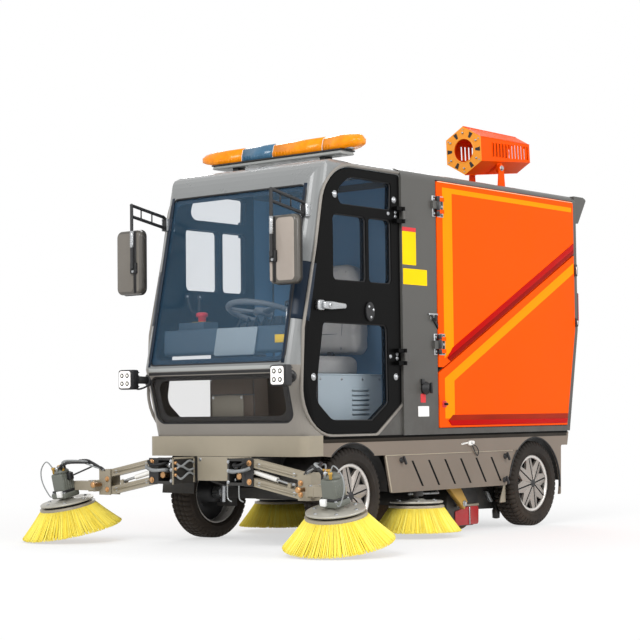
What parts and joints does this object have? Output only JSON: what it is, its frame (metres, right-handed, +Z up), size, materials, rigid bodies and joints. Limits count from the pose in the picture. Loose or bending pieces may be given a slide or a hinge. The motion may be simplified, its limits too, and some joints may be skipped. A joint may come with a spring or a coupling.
{
  "type": "ride-on floor sweeper with enclosed cab",
  "caption": "Enclosed cab ride-on sweeper: steered wheels, hinged doors, tailgate, lifting front brush arms, spinning brushes, cross roller and tilting roof mist cannon.",
  "frame": {"origin": "on the floor, under the middle of the machine's bounding box", "axes": "+Z up, front towards -Y, +X to the machine's left"},
  "size_m": [2.4572, 3.2613, 2.4228],
  "materials": {
    "frame_black": "satin black frame paint",
    "body_grey": "semi gloss grey body paint",
    "trim_grey": "satin warm grey paint",
    "orange": "gloss orange paint with yellow and red stripes",
    "door_black": "gloss black door frame",
    "glass": "tinted safety glass",
    "tyre": "moulded road tyre",
    "wheel": "silver wheel cover",
    "steel": "bright steel",
    "bristle": "yellow bristles",
    "roller": "dark bristles",
    "hood_red": "red painted hood",
    "seat": "padded grey seat cover",
    "seat_base": "pale grey box",
    "dash": "grey moulding",
    "black_plastic": "black plastic",
    "lens": "amber lens with a blue part",
    "lamp_red": "red lamp lens",
    "white": "white painted cylinder",
    "battery": "battery case"
  },
  "bodies": {
    "chassis": {"chassis_frame": "frame_black", "front_axle": "frame_black", "rear_axle": "frame_black", "battery_pack": "battery", "bumper": "trim_grey", "side_bands": "trim_grey", "skirt_panels": "trim_grey", "cab_floor": "body_grey", "cab_nose": "body_grey", "cab_frame": "body_grey", "cab_glass": "glass", "body_shell": "body_grey", "lower_side_panels": "orange", "roof_visor": "body_grey", "seat_base": "seat_base", "seat_pads": "seat", "dashboard": "dash", "light_bar_base": "steel", "light_bar_lens": "lens", "cannon_stand": "orange", "mirror_arms": "black_plastic", "mirror_heads": "body_grey", "work_lamps": "black_plastic", "roller_hood": "hood_red", "tail_lamps": "lamp_red"},
    "cab_door_left": {"cab_door_left": "door_black", "door_glass_left": "glass"},
    "side_door_left": {"side_door_left": "orange"},
    "knuckle_left": {"knuckle_left": "steel"},
    "wheel_front_left": {"tyre_front_left": "tyre", "wheel_front_left": "wheel"},
    "wheel_rear_left": {"tyre_rear_left": "tyre", "wheel_rear_left": "wheel"},
    "arm_upper_left": {"arm_upper_left": "trim_grey"},
    "arm_lower_left": {"arm_lower_left": "trim_grey"},
    "arm_cylinder_left": {"arm_cylinder_left": "white"},
    "arm_rod_left": {"arm_rod_left": "steel"},
    "brush_head_left": {"brush_head_left": "trim_grey"},
    "front_brush_left": {"front_brush_left": "bristle"},
    "mid_brush_left": {"mid_brush_left": "bristle"},
    "cab_door_right": {"cab_door_right": "door_black", "door_glass_right": "glass"},
    "side_door_right": {"side_door_right": "orange"},
    "knuckle_right": {"knuckle_right": "steel"},
    "wheel_front_right": {"tyre_front_right": "tyre", "wheel_front_right": "wheel"},
    "wheel_rear_right": {"tyre_rear_right": "tyre", "wheel_rear_right": "wheel"},
    "arm_upper_right": {"arm_upper_right": "trim_grey"},
    "arm_lower_right": {"arm_lower_right": "trim_grey"},
    "arm_cylinder_right": {"arm_cylinder_right": "white"},
    "arm_rod_right": {"arm_rod_right": "steel"},
    "brush_head_right": {"brush_head_right": "trim_grey"},
    "front_brush_right": {"front_brush_right": "bristle"},
    "mid_brush_right": {"mid_brush_right": "bristle"},
    "tailgate": {"tailgate": "body_grey"},
    "steering_wheel": {"steering_wheel": "black_plastic"},
    "mist_cannon": {"mist_cannon": "orange"},
    "main_roller": {"main_roller": "roller"}
  },
  "joints": [
    {"name": "cab_door_left_hinge", "type": "hinge", "parent": "chassis", "child": "cab_door_left", "pos_m": [0.587, -0.31878, 1.3], "axis": [0, 0, 1], "range_deg": [0, 80]},
    {"name": "side_door_left_hinge", "type": "hinge", "parent": "chassis", "child": "side_door_left", "pos_m": [0.587, 0.00172, 1.45], "axis": [0, 0, -1], "range_deg": [0, 85]},
    {"name": "steer_left", "type": "hinge", "parent": "chassis", "child": "knuckle_left", "pos_m": [0.365, -0.75228, 0.254], "axis": [0, 0, 1], "range_deg": [-30, 30]},
    {"name": "wheel_front_left_spin", "type": "hinge", "parent": "knuckle_left", "child": "wheel_front_left", "pos_m": [0.483, -0.75228, 0.254], "axis": [1, 0, 0], "continuous": true},
    {"name": "wheel_rear_left_spin", "type": "hinge", "parent": "chassis", "child": "wheel_rear_left", "pos_m": [0.483, 0.99572, 0.254], "axis": [1, 0, 0], "continuous": true},
    {"name": "arm_lift_left", "type": "hinge", "parent": "chassis", "child": "arm_upper_left", "pos_m": [0.35, -1.29728, 0.44], "axis": [0, -1, 0], "range_deg": [0, 30]},
    {"name": "arm_lower_left_pivot", "type": "hinge", "parent": "chassis", "child": "arm_lower_left", "pos_m": [0.35, -1.29728, 0.345], "axis": [0, -1, 0], "range_deg": [-1, 31]},
    {"name": "brush_head_left_pivot", "type": "hinge", "parent": "arm_upper_left", "child": "brush_head_left", "pos_m": [0.69391, -1.29728, 0.37502], "axis": [0, -1, 0], "range_deg": [-31, 1]},
    {"name": "arm_cylinder_left_pivot", "type": "hinge", "parent": "chassis", "child": "arm_cylinder_left", "pos_m": [0.358, -1.29728, 0.393], "axis": [0, -1, 0], "range_deg": [-1, 32.2]},
    {"name": "arm_rod_left_slide", "type": "slide", "parent": "arm_cylinder_left", "child": "arm_rod_left", "axis": [0.972, 0, -0.2349], "range_m": [-0.02669, 0.002]},
    {"name": "front_brush_left_spin", "type": "hinge", "parent": "brush_head_left", "child": "front_brush_left", "pos_m": [0.952, -1.35928, 0.06302], "axis": [0.0513, -0.1994, 0.9786], "continuous": true},
    {"name": "mid_brush_left_spin", "type": "hinge", "parent": "chassis", "child": "mid_brush_left", "pos_m": [0.5, -0.123, 0.1], "axis": [0, 0, 1], "continuous": true},
    {"name": "cab_door_right_hinge", "type": "hinge", "parent": "chassis", "child": "cab_door_right", "pos_m": [-0.587, -0.31878, 1.3], "axis": [0, 0, -1], "range_deg": [0, 80]},
    {"name": "side_door_right_hinge", "type": "hinge", "parent": "chassis", "child": "side_door_right", "pos_m": [-0.587, 0.00172, 1.45], "axis": [0, 0, 1], "range_deg": [0, 85]},
    {"name": "steer_right", "type": "hinge", "parent": "chassis", "child": "knuckle_right", "pos_m": [-0.365, -0.75228, 0.254], "axis": [0, 0, 1], "range_deg": [-30, 30]},
    {"name": "wheel_front_right_spin", "type": "hinge", "parent": "knuckle_right", "child": "wheel_front_right", "pos_m": [-0.483, -0.75228, 0.254], "axis": [1, 0, 0], "continuous": true},
    {"name": "wheel_rear_right_spin", "type": "hinge", "parent": "chassis", "child": "wheel_rear_right", "pos_m": [-0.483, 0.99572, 0.254], "axis": [1, 0, 0], "continuous": true},
    {"name": "arm_lift_right", "type": "hinge", "parent": "chassis", "child": "arm_upper_right", "pos_m": [-0.35, -1.29728, 0.44], "axis": [0, 1, 0], "range_deg": [0, 30]},
    {"name": "arm_lower_right_pivot", "type": "hinge", "parent": "chassis", "child": "arm_lower_right", "pos_m": [-0.35, -1.29728, 0.345], "axis": [0, 1, 0], "range_deg": [-1, 31]},
    {"name": "brush_head_right_pivot", "type": "hinge", "parent": "arm_upper_right", "child": "brush_head_right", "pos_m": [-0.69391, -1.29728, 0.37502], "axis": [0, 1, 0], "range_deg": [-31, 1]},
    {"name": "arm_cylinder_right_pivot", "type": "hinge", "parent": "chassis", "child": "arm_cylinder_right", "pos_m": [-0.358, -1.29728, 0.393], "axis": [0, 1, 0], "range_deg": [-1, 32.2]},
    {"name": "arm_rod_right_slide", "type": "slide", "parent": "arm_cylinder_right", "child": "arm_rod_right", "axis": [-0.972, 0, -0.2349], "range_m": [-0.02669, 0.002]},
    {"name": "front_brush_right_spin", "type": "hinge", "parent": "brush_head_right", "child": "front_brush_right", "pos_m": [-0.952, -1.35928, 0.06302], "axis": [-0.0513, -0.1994, 0.9786], "continuous": true},
    {"name": "mid_brush_right_spin", "type": "hinge", "parent": "chassis", "child": "mid_brush_right", "pos_m": [-0.5, -0.123, 0.1], "axis": [0, 0, 1], "continuous": true},
    {"name": "tailgate_hinge", "type": "hinge", "parent": "chassis", "child": "tailgate", "pos_m": [0, 1.50672, 1.84], "axis": [1, 0, 0], "range_deg": [0, 80]},
    {"name": "steering_wheel_turn", "type": "hinge", "parent": "chassis", "child": "steering_wheel", "pos_m": [0, -0.82228, 1.24], "axis": [0, 0.2756, 0.9613], "range_deg": [-365, 365]},
    {"name": "cannon_tilt", "type": "hinge", "parent": "chassis", "child": "mist_cannon", "pos_m": [0.243, 0.99272, 2.18], "axis": [-1, 0, 0], "range_deg": [-12, 12]},
    {"name": "main_roller_spin", "type": "hinge", "parent": "chassis", "child": "main_roller", "pos_m": [0, 0.45734, 0.142], "axis": [1, 0, 0], "continuous": true}
  ],
  "couplings": [
    {"joint": "arm_lower_left_pivot", "follows": "arm_lift_left", "ratio": 1},
    {"joint": "brush_head_left_pivot", "follows": "arm_lift_left", "ratio": -1},
    {"joint": "arm_cylinder_left_pivot", "follows": "arm_lift_left", "ratio": 1.0401},
    {"joint": "arm_rod_left_slide", "follows": "arm_lift_left", "m_per_rad": -0.04715},
    {"joint": "arm_lower_right_pivot", "follows": "arm_lift_right", "ratio": 1},
    {"joint": "brush_head_right_pivot", "follows": "arm_lift_right", "ratio": -1},
    {"joint": "arm_cylinder_right_pivot", "follows": "arm_lift_right", "ratio": 1.0401},
    {"joint": "arm_rod_right_slide", "follows": "arm_lift_right", "m_per_rad": -0.04715},
    {"joint": "steer_right", "follows": "steer_left", "ratio": 1},
    {"joint": "steering_wheel_turn", "follows": "steer_left", "ratio": 12}
  ]
}
